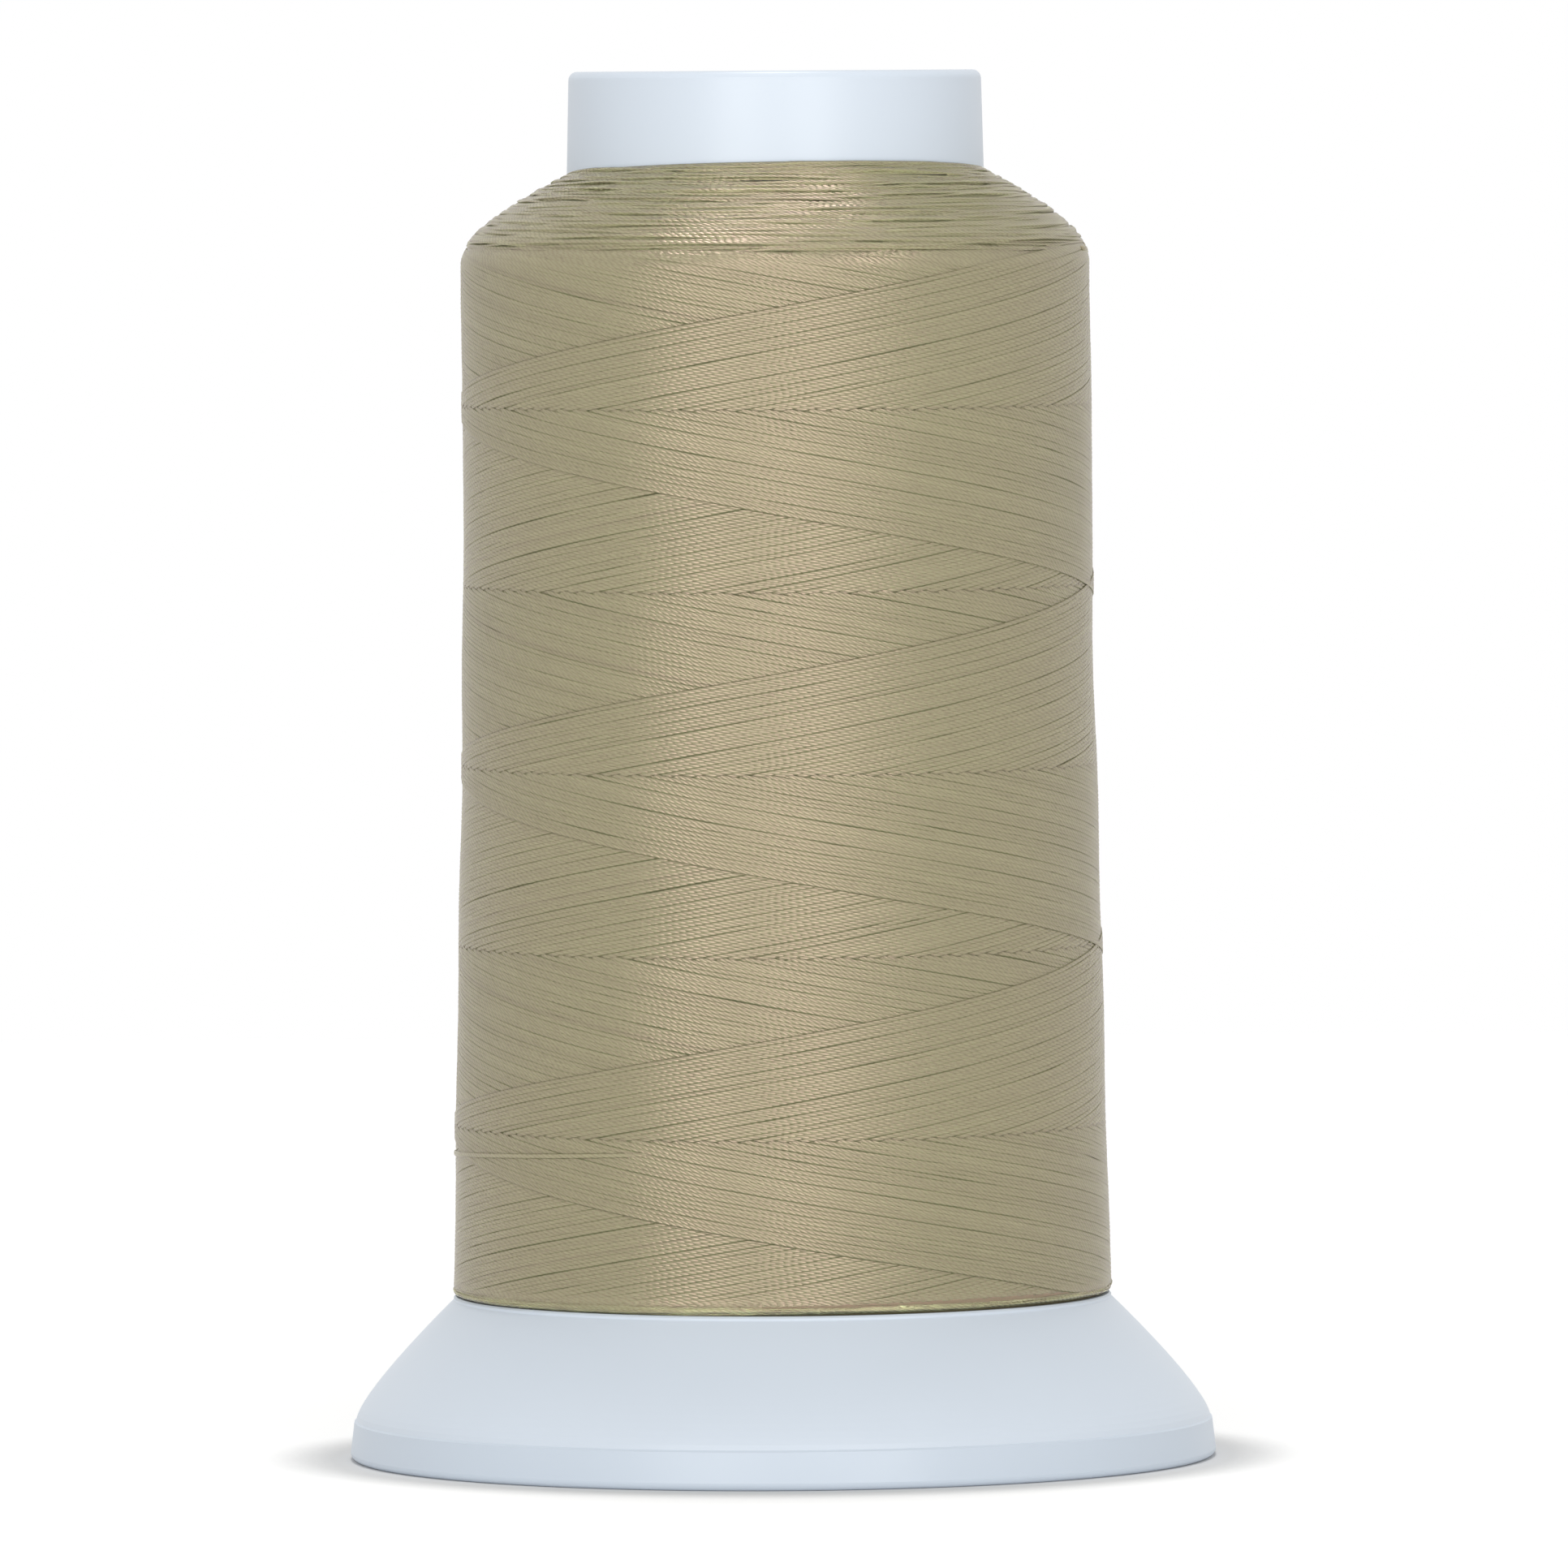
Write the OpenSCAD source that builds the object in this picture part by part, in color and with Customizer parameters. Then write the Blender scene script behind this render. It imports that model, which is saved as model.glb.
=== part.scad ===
// King spool of cross-wound thread with a snap base that opens as a thread catch.
// The spool stands on its rim: the origin is the middle of the rim's lower face and +Z runs up
// the bore. The snap base is the piece that stands; body and thread lift off it by catch_travel.

/* [Spool] */
// Height from the rim's lower face to the top of the neck
spool_h = 112; // [90:1:140]
// Wall of the moulded body
wall = 1.5; // [1.2:0.1:2]

/* [Neck and barrel] */
// Outer diameter at the top of the neck
neck_d = 33.3; // [30:0.1:36]
// Outer diameter at the foot of the barrel; the draft runs from the neck to here
barrel_foot_d = 38; // [36:0.1:41]
// Length of the straight bore under the neck's mouth
neck_land_h = 8; // [4:0.5:14]
// Rounding of the neck's outer edge
neck_edge_r = 0.7; // [0.3:0.1:1]

/* [Flange and skirt] */
// Height of the flange that the thread stands on
flange_z = 13.2; // [12.6:0.1:16]
// Diameter of the flange
flange_d = 53.2; // [50:0.2:56]
// Upright edge of the flange above the skirt
flange_lip_h = 0.35; // [0.2:0.05:0.8]
// Rounding between the barrel and the flange
flange_root_r = 1.5; // [0.5:0.1:3]
// Diameter of the skirt's lower edge
skirt_d = 69.1; // [67:0.1:72]
// Slope of the skirt below the flange, from upright
skirt_top_angle = 46; // [40:1:52]
// Slope of the skirt at its lower edge, from upright
skirt_low_angle = 10; // [4:1:20]
// Gussets between the sleeve and the skirt
gusset_count = 8; // [4:4:12]
// Thickness of a gusset
gusset_t = 1.2; // [0.8:0.1:1.6]

/* [Snap base] */
// Height of the rim, up to the seam with the skirt
rim_h = 3.2; // [3:0.1:4]
// Diameter of the rim where it stands
rim_d = 70; // [68:0.1:73]
// Slope of the rim's outer face: how much narrower it is at the seam
rim_taper = 0.6; // [0.2:0.1:1]
// Rounding of the rim's lower edge
rim_edge_r = 0.6; // [0.3:0.1:0.9]
// Width of the rim's wall
rim_t = 1.6; // [1.4:0.1:2]
// Thickness of the web across the base
web_t = 1.5; // [1.2:0.1:1.8]
// Radial ribs under the web
rib_count = 8; // [4:4:16]
// Thickness of a rib
rib_t = 1.2; // [0.8:0.1:1.6]
// Gap between a rib or the collar and the surface that the rim stands on
rib_lift = 0.4; // [0.2:0.1:0.8]
// Height of the guide ring inside the skirt, above the web
guide_h = 2; // [1:0.1:2.4]
// Thickness of the guide ring
guide_t = 1.2; // [0.8:0.1:1.6]
// Room for a caught thread end between the guide ring and the skirt
guide_gap = 0.35; // [0.3:0.05:0.6]

/* [Snap collar] */
// How far the body lifts off the base to open the catch
catch_travel = 3; // [2:0.1:3.2]
// Radial running clearance between the collar and the sleeve
run_gap = 0.08; // [0.03:0.01:0.1]
// Wall of the collar
collar_t = 1.4; // [1.2:0.1:1.6]
// How much thinner the fingers are than the collar
finger_relief = 0.2; // [0.1:0.05:0.4]
// Snap fingers round the collar
finger_count = 4; // [3:1:5]
// Width of a finger
finger_w = 12; // [8:0.5:13]
// Width of a hook
hook_w = 9; // [5:0.5:9]
// Reach of a hook beyond the collar
hook_out = 0.9; // [0.5:0.1:1.1]
// Height of a hook
hook_h = 1.8; // [1.2:0.1:2]
// Clearance round a hook in its window
window_gap = 0.3; // [0.2:0.05:0.5]

/* [Thread] */
// Diameter of the thread
thread_d = 0.32; // [0.2:0.02:0.5]
// Diameter over the thread below the shoulder
package_top_d = 51.2; // [46:0.2:53]
// Diameter over the thread above the foot
package_foot_d = 53.8; // [50:0.2:56]
// Height at which the thread meets the neck
thread_top_z = 104; // [80:0.5:106]
// Height of the thread's sloping shoulder
shoulder_h = 7.4; // [4:0.2:10]
// Rounding of the thread's foot
foot_r = 1.9; // [1:0.1:3]
// Climb of the thread in one turn on a stroke
stroke_lead = 29; // [20:1:40]
// Strokes drawn each way over the package
stroke_count = 4; // [2:1:5]

/* [Hidden] */

$fn = 96;
eps = 0.01;
skirt_steps = 16;
edge_steps = 6;
turn_steps = 3;
turn_swing = 55;
seam_chamfer = 0.15;
mouth_chamfer = 0.5;
skirt_top_reach = 3;
skirt_low_reach = 2;

// Body: the tube's outside, and its bore one wall inside it
neck_r = neck_d / 2;
barrel_foot_r = barrel_foot_d / 2;
neck_bore_r = neck_r - wall;
sleeve_bore_r = barrel_foot_r - wall;
sleeve_bore_top_z = flange_z + 2 * wall;
sleeve_lift = 1.2;
sleeve_foot_z = rim_h + sleeve_lift;
flange_r = flange_d / 2;
skirt_r = skirt_d / 2;

// Base: the rim under the skirt, the guide ring inside it and the collar inside the sleeve
rim_r = rim_d / 2;
rim_top_r = rim_r - rim_taper / 2;
rim_bore_r = rim_top_r - rim_t;
web_z = rim_h - web_t;
collar_r = sleeve_bore_r - run_gap;
collar_bore_r = collar_r - collar_t;
collar_ring_h = 1.6;
collar_top_z = rim_h + collar_ring_h;
window_sill_h = 1.4;
finger_tip_h = 1;
stop_gap = 0.02;
hook_z = sleeve_foot_z + window_sill_h + catch_travel;
finger_top_z = hook_z + hook_h + finger_tip_h;
window_z = hook_z - catch_travel - stop_gap;

// Thread: its own outside, and the solid package that lies under the last two layers
seat_gap = 0.02;
layer_gap = 0.1;
skin = 2 * thread_d + 1.5 * layer_gap;
package_top_r = package_top_d / 2;
package_foot_r = package_foot_d / 2;
shoulder_z = thread_top_z - shoulder_h;
foot_z = flange_z + foot_r;
package_steps = 14;
swell_power = 1.8;
shoulder_round = 0.33;
shoulder_reach = 0.68;
shoulder_top_angle = 26;
rings_per_turn = 40;
strand_sides = 6;

function barrel_r(z) = neck_r + (barrel_foot_r - neck_r) * (spool_h - z) / (spool_h - flange_z);

// Point on a cubic curve with the four control points p, and the direction it runs there
function curve_at(p, t) = pow(1 - t, 3) * p[0] + 3 * pow(1 - t, 2) * t * p[1]
    + 3 * (1 - t) * t * t * p[2] + pow(t, 3) * p[3];
function curve_slope(p, t) = 3 * pow(1 - t, 2) * (p[1] - p[0]) + 6 * (1 - t) * t * (p[2] - p[1])
    + 3 * t * t * (p[3] - p[2]);
function unit(v) = v / norm(v);

// Points of a curve moved d to the right of the way it runs, which is inwards on this part
function curve_inset(p, d, steps) = [for (i = [0:steps])
    let (t = i / steps, u = unit(curve_slope(p, t))) curve_at(p, t) + d * [u[1], -u[0]]];

// Points of a quarter round from angle a to angle b about c
function round_points(c, r, a, b) = [for (i = [0:edge_steps])
    let (w = a + (b - a) * i / edge_steps) c + r * [cos(w), sin(w)]];

// The skirt's outside, from under the flange's lip down to the seam
skirt_curve = let (top = [flange_r, flange_z - flange_lip_h], low = [skirt_r, rim_h])
    [top, top + skirt_top_reach * [sin(skirt_top_angle), -cos(skirt_top_angle)],
     low - skirt_low_reach * [sin(skirt_low_angle), -cos(skirt_low_angle)], low];

// The thread's shoulder, from the top of its straight side in to the neck
shoulder_curve = let (low = [package_top_r, shoulder_z], top = [barrel_r(thread_top_z), thread_top_z])
    [low, low + [0, shoulder_round * shoulder_h],
     top + shoulder_reach * shoulder_h * [cos(shoulder_top_angle), -sin(shoulder_top_angle)], top];

// Radius over the thread at height z: it swells towards the foot
function package_r(z) = package_top_r + (package_foot_r - package_top_r)
    * pow(max(0, (shoulder_z - z) / (shoulder_z - foot_z)), swell_power);

module copies_round(count) {
    for (i = [0:count - 1]) rotate([0, 0, 360 * i / count]) children();
}

// Body: neck, barrel, flange and skirt in one moulding, with a windowed sleeve under the flange

module body_revolve() {
    skirt_inside = curve_inset(skirt_curve, wall, skirt_steps);
    rotate_extrude() polygon(concat(
        [[neck_bore_r, spool_h - neck_land_h], [neck_bore_r, spool_h - mouth_chamfer],
         [neck_bore_r + mouth_chamfer, spool_h]],
        round_points([neck_r - neck_edge_r, spool_h - neck_edge_r], neck_edge_r, 90, 0),
        [for (i = [0:edge_steps]) let (w = 180 + 90 * i / edge_steps, z0 = flange_z + flange_root_r)
            [barrel_r(z0) + flange_root_r * (1 + cos(w)), z0 + flange_root_r * sin(w)]],
        [[flange_r - seam_chamfer, flange_z], [flange_r, flange_z - seam_chamfer]],
        curve_inset(skirt_curve, 0, skirt_steps),
        [[skirt_r - wall, rim_h]],
        [for (i = [skirt_steps - 1:-1:1]) if (skirt_inside[i][1] > rim_h) skirt_inside[i]],
        [[skirt_inside[0][0], flange_z - wall], [barrel_foot_r, flange_z - wall],
         [barrel_foot_r, sleeve_foot_z], [sleeve_bore_r, sleeve_foot_z],
         [sleeve_bore_r, sleeve_bore_top_z]]));
}

// Fills the corner between the sleeve, the flange and the skirt, clear of the guide ring below
module gusset() {
    outer = curve_inset(skirt_curve, wall / 2, skirt_steps);
    low_z = rim_h + guide_h + sleeve_lift;
    rotate([90, 0, 0]) translate([0, 0, -gusset_t / 2]) linear_extrude(gusset_t)
        polygon(concat(
            [[barrel_foot_r - wall / 2, flange_z - wall / 2]],
            [for (p = outer) if (p[1] > low_z && p[1] < flange_z - wall / 2) p],
            [[barrel_foot_r - wall / 2, low_z]]));
}

module hook_window() {
    translate([collar_bore_r, -hook_w / 2 - window_gap, window_z])
        cube([2 * wall + collar_t, hook_w + 2 * window_gap,
              catch_travel + stop_gap + hook_h + window_gap]);
}

module spool_body() {
    color("whitesmoke") difference() {
        union() {
            body_revolve();
            rotate([0, 0, 180 / gusset_count]) copies_round(gusset_count) gusset();
        }
        copies_round(finger_count) hook_window();
    }
}

// Base: standing rim, web, guide ring and the ring of the collar

module base_revolve() {
    guide_outside = [for (p = curve_inset(skirt_curve, wall + guide_gap, 2 * skirt_steps))
        if (p[1] > rim_h + eps && p[1] < rim_h + guide_h) p];
    guide_top = guide_outside[0];
    rotate_extrude() polygon(concat(
        [[rim_bore_r, 0]],
        round_points([rim_r - rim_edge_r, rim_edge_r], rim_edge_r, 270, 360),
        [[rim_top_r, rim_h - seam_chamfer], [rim_top_r - seam_chamfer, rim_h],
         [skirt_r - wall - guide_gap, rim_h]],
        [for (i = [len(guide_outside) - 1:-1:0]) guide_outside[i]],
        [[guide_top[0] - guide_t, guide_top[1]], [guide_top[0] - guide_t, rim_h],
         [collar_r, rim_h], [collar_r, collar_top_z], [collar_bore_r, collar_top_z],
         [collar_bore_r, rib_lift + mouth_chamfer], [collar_bore_r + mouth_chamfer, rib_lift],
         [collar_r, rib_lift], [collar_r, web_z], [rim_bore_r, web_z]]));
}

module base_rib() {
    translate([collar_r - collar_t / 2, -rib_t / 2, rib_lift])
        cube([rim_bore_r - collar_r + collar_t / 2 + rim_t / 3, rib_t, web_z - rib_lift + web_t / 2]);
}

// A thin spring finger with a hook that leads in at the top and catches on its flat underside
module snap_finger() {
    finger_bore_r = collar_bore_r + finger_relief;
    hook_r = collar_r + hook_out;
    root_z = collar_top_z - web_t / 2;
    intersection() {
        rotate_extrude() polygon([[finger_bore_r, root_z], [collar_r, root_z], [collar_r, finger_top_z],
            [finger_bore_r, finger_top_z]]);
        translate([0, -finger_w / 2, root_z]) cube([2 * collar_r, finger_w, finger_top_z - root_z]);
    }
    intersection() {
        rotate_extrude() polygon([[collar_r - collar_t / 2, hook_z], [hook_r, hook_z],
            [hook_r, hook_z + hook_h / 4], [collar_r, hook_z + hook_h], [collar_r - collar_t / 2,
            hook_z + hook_h]]);
        translate([0, -hook_w / 2, hook_z]) cube([2 * collar_r, hook_w, hook_h]);
    }
}

// The slot through the web under a hook, where the mould's core comes out
module core_slot() {
    translate([collar_r + window_gap, -hook_w / 2, web_z - rib_lift])
        cube([2 * hook_out, hook_w, web_t + 2 * rib_lift]);
}

module snap_base() {
    color("white") difference() {
        union() {
            base_revolve();
            rotate([0, 0, 180 / rib_count]) copies_round(rib_count) base_rib();
            copies_round(finger_count) snap_finger();
        }
        copies_round(finger_count) core_slot();
    }
}

// Thread: one length, wound in strokes that climb and fall between the foot and the shoulder

// Outline of one nearly level turn whose middle is c and whose outside faces the way of n
function turn_outline(c, n) = let (facing = atan2(n[1], n[0])) [for (i = [-turn_steps:turn_steps])
    let (w = facing + turn_swing * i / turn_steps) c + thread_d / 2 * [cos(w), sin(w)]];

// Length along a curve against its parameter, to set turns side by side on it
function curve_lengths(p, steps, i = 0, sum = 0) = i > steps ? [] : concat([[sum, i / steps]],
    curve_lengths(p, steps, i + 1, sum + norm(curve_at(p, (i + 1) / steps) - curve_at(p, i / steps))));

// Outline of the turns that lie side by side round the foot, from the flange up
foot_outline = let (c = [package_foot_r - skin - foot_r, foot_z], lay_r = foot_r - thread_d / 2,
        count = floor(PI / 2 * lay_r / thread_d))
    [for (k = [0:count - 1]) let (w = 270 + 90 * (k + 0.5) / count, n = [cos(w), sin(w)])
        for (p = turn_outline(c + lay_r * n, n)) if (p[1] > flange_z) p];

// Outline of the turns side by side on the shoulder; the strokes end under the first of them
shoulder_outline = let (table = curve_lengths(shoulder_curve, 4 * skirt_steps),
        run = table[4 * skirt_steps][0], count = floor(run / thread_d))
    [for (k = [0:count - 1]) let (t = lookup(run * (k + 0.5) / count, table),
            u = unit(curve_slope(shoulder_curve, t)), n = [u[1], -u[0]],
            depth = thread_d / 2 + skin * (1 - k / count))
        for (p = turn_outline(curve_at(shoulder_curve, t) - depth * n, n))
            if (p[0] > barrel_r(p[1]) + seat_gap) p];

module thread_package() {
    inside_low_z = flange_z + flange_root_r + seat_gap;
    inside_top_z = thread_top_z - thread_d;
    color("#b3a37f") rotate_extrude() polygon(concat(
        [[barrel_r(flange_z) + flange_root_r + 2 * seat_gap, flange_z]],
        [[package_foot_r - skin - foot_r, flange_z]],
        foot_outline,
        [for (i = [0:package_steps]) let (z = foot_z + (shoulder_z - foot_z) * i / package_steps)
            [package_r(z) - skin, z]],
        shoulder_outline,
        [[barrel_r(inside_top_z) + seat_gap, inside_top_z],
         [barrel_r(inside_low_z) + seat_gap, inside_low_z]]));
}

// Closed tube of the thread's size through the ring centres, whose rings stand upright
module strand(centres) {
    rings = [for (c = centres) let (bearing = atan2(c[1], c[0]), r = norm([c[0], c[1]]))
        [for (k = [0:strand_sides - 1]) let (w = 360 * k / strand_sides, q = r + thread_d / 2 * cos(w))
            [q * cos(bearing), q * sin(bearing), c[2] + thread_d / 2 * sin(w)]]];
    last = len(centres) - 1;
    polyhedron(
        points = [for (ring = rings) for (p = ring) p],
        faces = concat(
            [[for (k = [strand_sides - 1:-1:0]) k]],
            [for (i = [0:last - 1]) for (k = [0:strand_sides - 1])
                let (n = (k + 1) % strand_sides, a = i * strand_sides, b = a + strand_sides)
                for (face = [[a + k, a + n, b + n], [a + k, b + n, b + k]]) face],
            [[for (k = [0:strand_sides - 1]) last * strand_sides + k]]));
}

// Strokes in one layer, each turning left from start_z to end_z
module strokes(start_z, end_z, centre_depth) {
    turns = abs(end_z - start_z) / stroke_lead;
    count = ceil(rings_per_turn * turns);
    for (s = [0:stroke_count - 1])
        strand([for (i = [0:count]) let (
            z = start_z + (end_z - start_z) * i / count,
            a = 360 * (turns * i / count + s / stroke_count),
            r = package_r(z) - centre_depth) [r * cos(a), r * sin(a), z]]);
}

module rising_turns() {
    color("#bba983") strokes(foot_z, shoulder_z, skin - thread_d / 2 - layer_gap);
}

module falling_turns() {
    color("#a89873") strokes(shoulder_z, foot_z, skin - 1.5 * thread_d - 2 * layer_gap);
}

spool_body();
snap_base();
thread_package();
rising_turns();
falling_turns();
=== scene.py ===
"""A king spool of cross-wound thread: its mouldings' finish, the thread's turns and the studio."""

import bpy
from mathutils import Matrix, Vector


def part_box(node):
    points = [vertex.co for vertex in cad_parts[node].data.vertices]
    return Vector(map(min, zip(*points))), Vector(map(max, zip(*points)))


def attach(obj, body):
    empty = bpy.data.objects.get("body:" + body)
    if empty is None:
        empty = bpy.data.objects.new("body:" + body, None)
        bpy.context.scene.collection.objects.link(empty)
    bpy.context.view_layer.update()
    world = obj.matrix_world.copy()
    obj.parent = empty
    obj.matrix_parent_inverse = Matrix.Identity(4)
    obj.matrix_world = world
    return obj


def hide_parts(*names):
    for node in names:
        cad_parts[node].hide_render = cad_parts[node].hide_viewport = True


bl_info = {
    "name": "Cross-Wound Thread Spool",
    "version": (1, 0, 0),
    "blender": (4, 5, 0),
    "location": "3D Viewport > Sidebar > Thread Spool",
    "description": "Winds the thread on a king spool, finishes its mouldings and sets up the studio",
    "category": "Object",
}

from collections import namedtuple
from math import pi, radians, tau

import bmesh
import bpy
import numpy as np
from bpy.props import FloatProperty, FloatVectorProperty, IntProperty, PointerProperty
from mathutils import Quaternion, Vector

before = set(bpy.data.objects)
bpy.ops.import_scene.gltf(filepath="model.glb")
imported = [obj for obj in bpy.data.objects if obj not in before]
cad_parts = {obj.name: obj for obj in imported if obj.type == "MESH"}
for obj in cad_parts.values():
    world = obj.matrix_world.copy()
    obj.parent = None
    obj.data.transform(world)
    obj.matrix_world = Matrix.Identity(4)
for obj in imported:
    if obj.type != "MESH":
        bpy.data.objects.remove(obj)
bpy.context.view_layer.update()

MM = 0.001
PACKAGE_LOW, PACKAGE_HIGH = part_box("thread_package")
SPOOL_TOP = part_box("spool_body")[1].z
# Outside of the body's neck, and of the barrel where it meets the flange
NECK_R = 16.65 * MM
BARREL_FOOT_R = 19 * MM

# Strokes turn back this many turns above and below the level line at the crossing height
TURN_BACK_HIGH = 1
TURN_BACK_LOW = -2
RINGS_IN_A_TURN = 80
# Part of a half turn in which a thread passes from one side of the crossing layer to the other
SWAP_RUN = 0.013
# Depth in the crossing layers, in thread diameters: of the newest thread, of a thread under the other
# layer, and for the age of each of the two threads that cross
NEWEST_DEPTH = 0.2
UNDER_DEPTH = 0.28
AGE_DEPTH = 0.3

THREAD_SIDES = 6
# A wound thread is pressed flat, to an oval of this thickness and width, as parts of its diameter
THREAD_THICKNESS = 0.32
THREAD_WIDTH = 1.29
# How far the plies lean from the thread's middle to its edge, in ply lengths
PLY_LEAN = 0.55
# Spread of the shade from one thread to the next
TONE_SPREAD = 0.035

# Threads lie side by side in bunches: the chance that the next thread starts a new one, and then, in
# thread spacings, how close a bunch is drawn, how far it wanders and how far a loose thread strays
BUNCH_CHANCE = 0.42
BUNCH_PACKING = 0.95
BUNCH_WANDER = 0.04
THREAD_STRAY = 0.015

# Slight waves in the package's outside: lobes round it, millimetres from wave to wave, and phase
SWELL = 0.035 * MM
SWELL_WAVES = ((1, 31, 0.1), (-2, 47, 0.6), (3, 23, 0.35), (-1, 17, 0.8), (2, 67, 0.0))
# The thread is piled higher against one side of the neck: the length that rises, that side's bearing in
# turns, and the rise in millimetres all round and on that side
PILE_RUN = 9 * MM
PILE_BEARING = -0.235
PILE_ALL_ROUND = 0.08
PILE_ON_ONE_SIDE = 1.07

# The Wave node multiplies its scale by this
WAVE_NODE_FACTOR = 20

# The package's outline: distance along it, its points, and the direction that points out of it
Line = namedtuple("Line", "length radius height out_r out_z")
# Threads on the package: the turn, place and outward direction of each ring, the number of plies up to
# it, and its shade
Route = namedtuple("Route", "angle radius height out_r out_z twist tone")


def linear(hex_colour):
    """An sRGB hex colour as the linear red, green and blue that Blender works in."""
    channels = [int(hex_colour[i:i + 2], 16) / 255 for i in (0, 2, 4)]
    return tuple(c / 12.92 if c <= 0.04045 else ((c + 0.055) / 1.055) ** 2.4 for c in channels)


# Sizes and colours that a user would change


class SpoolWinding(bpy.types.PropertyGroup):
    """The thread, and how it lies on the spool"""

    diameter: FloatProperty(
        name="Thread diameter", description="Diameter of the plied thread",
        default=0.32 * MM, precision=5, unit="LENGTH")
    strokes: IntProperty(
        name="Threads in a layer", description="Threads side by side in one crossing layer",
        default=88, min=20, max=120)
    lead: FloatProperty(
        name="Climb in one turn", description="How far a stroke climbs in one turn of the spool",
        default=29 * MM, unit="LENGTH")
    top_ease: FloatProperty(
        name="Levelling at the top", description="Part of a turn in which a stroke levels out at the top",
        default=0.117)
    foot_ease: FloatProperty(
        name="Levelling at the foot", description="Part of a turn in which a stroke levels out at the foot",
        default=0.07)
    crossing_height: FloatProperty(
        name="Crossing height", description="Height of one of the level lines where the layers swap",
        default=70.6 * MM, unit="LENGTH")
    crossing_turn: FloatProperty(
        name="Crossing bearing", description="Turn at which the newest strokes meet on that line",
        default=-0.03)
    top_diameter: FloatProperty(
        name="Diameter under the shoulder", description="Over the thread, below its shoulder",
        default=51.2 * MM, unit="LENGTH")
    foot_diameter: FloatProperty(
        name="Diameter at the foot", description="Over the thread, above its foot",
        default=53.8 * MM, unit="LENGTH")
    foot_round: FloatProperty(
        name="Foot rounding", description="Rounding of the thread above the flange",
        default=0.9 * MM, unit="LENGTH")
    shoulder_height: FloatProperty(
        name="Shoulder height", description="Height of the thread's sloping shoulder",
        default=7.4 * MM, unit="LENGTH")
    ply_length: FloatProperty(
        name="Ply length", description="Length of thread from one ply's crest to the next",
        default=0.6 * MM, precision=5, unit="LENGTH")


class SpoolFinish(bpy.types.PropertyGroup):
    """Colours of the thread and the mouldings"""

    thread: FloatVectorProperty(
        name="Thread", description="Dyed polyester thread", subtype="COLOR", size=3,
        default=linear("7C8360"), min=0, max=1)
    thread_gloss: FloatVectorProperty(
        name="Thread gloss", description="Tint of the thread's satin gloss", subtype="COLOR", size=3,
        default=linear("FFD8C8"), min=0, max=1)
    # Painted shade: the thread's colour where shade falls, in the creases between the plies and under the
    # last layers
    painted_thread_shade: FloatVectorProperty(
        name="Thread in the gaps", description="The thread between the plies and under the last layers",
        subtype="COLOR", size=3, default=linear("5E5F3C"), min=0, max=1)
    body: FloatVectorProperty(
        name="Spool body", description="White moulded plastic of the body", subtype="COLOR", size=3,
        default=linear("CFD8E2"), min=0, max=1)
    base: FloatVectorProperty(
        name="Snap base", description="White moulded plastic of the snap base", subtype="COLOR", size=3,
        default=linear("C8D2DD"), min=0, max=1)


class SpoolStudio(bpy.types.PropertyGroup):
    """Camera and lamps"""

    camera_distance: FloatProperty(
        name="Camera distance", description="From the camera to the spool's axis",
        default=1380 * MM, unit="LENGTH")
    camera_height: FloatProperty(
        name="Camera height", description="Height of the camera above the floor",
        default=112 * MM, unit="LENGTH")
    aim_height: FloatProperty(
        name="Aim height", description="Height that the camera looks at on the axis",
        default=54.4 * MM, unit="LENGTH")
    aim_side: FloatProperty(
        name="Aim to the side", description="How far the frame's middle is to the right of the axis",
        default=0.39 * MM, precision=5, unit="LENGTH")
    view_width: FloatProperty(
        name="Frame width", description="Width that the frame takes in at the axis",
        default=126.7 * MM, unit="LENGTH")
    camera_roll: FloatProperty(
        name="Camera roll", description="Roll of the camera about its own view",
        default=radians(-0.37), subtype="ANGLE")
    front_power: FloatProperty(
        name="Front lamps", description="Power of each soft lamp beside the camera",
        default=4.9, unit="POWER")
    overhead: FloatProperty(
        name="Overhead light", default=1.0,
        description="Strength of the soft light from above, in watts on a square metre")
    ambient: FloatProperty(
        name="Ambient light", description="Strength of the even light from all round", default=0.58)


# Helpers for materials and finished pieces


def add_node(tree, kind, inputs=None, **settings):
    """A node of that kind, with its settings, and its sockets set or linked."""
    node = tree.nodes.new(kind)
    for name, value in settings.items():
        setattr(node, name, value)
    for name, value in (inputs or {}).items():
        if isinstance(value, bpy.types.NodeSocket):
            tree.links.new(value, node.inputs[name])
        else:
            node.inputs[name].default_value = value
    return node


def empty_material(name):
    """A new material without nodes, and its node tree."""
    material = bpy.data.materials.new(name)
    material.use_nodes = True
    material.node_tree.nodes.clear()
    return material, material.node_tree


def seen_directly(tree):
    """One for rays from the camera and through reflections and glass, which show the white studio, and
    zero for the rays that light the object."""
    rays = add_node(tree, "ShaderNodeLightPath")
    mirrored = add_node(tree, "ShaderNodeMath", {
        0: rays.outputs["Is Camera Ray"], 1: rays.outputs["Is Glossy Ray"]}, operation="MAXIMUM")
    shown = add_node(tree, "ShaderNodeMath", {
        0: mirrored.outputs[0], 1: rays.outputs["Is Transmission Ray"]}, operation="MAXIMUM")
    return shown.outputs[0]


def rgba(colour, factor=1.0):
    """A colour times a factor, for a socket that also has an alpha."""
    return (*(channel * factor for channel in colour), 1)


def add_piece(name, mesh, material):
    """An object of that mesh at the origin, smooth and in that material."""
    mesh.shade_smooth()
    mesh.materials.append(material)
    piece = bpy.data.objects.new(name, mesh)
    bpy.context.scene.collection.objects.link(piece)
    return piece


# Materials


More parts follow.
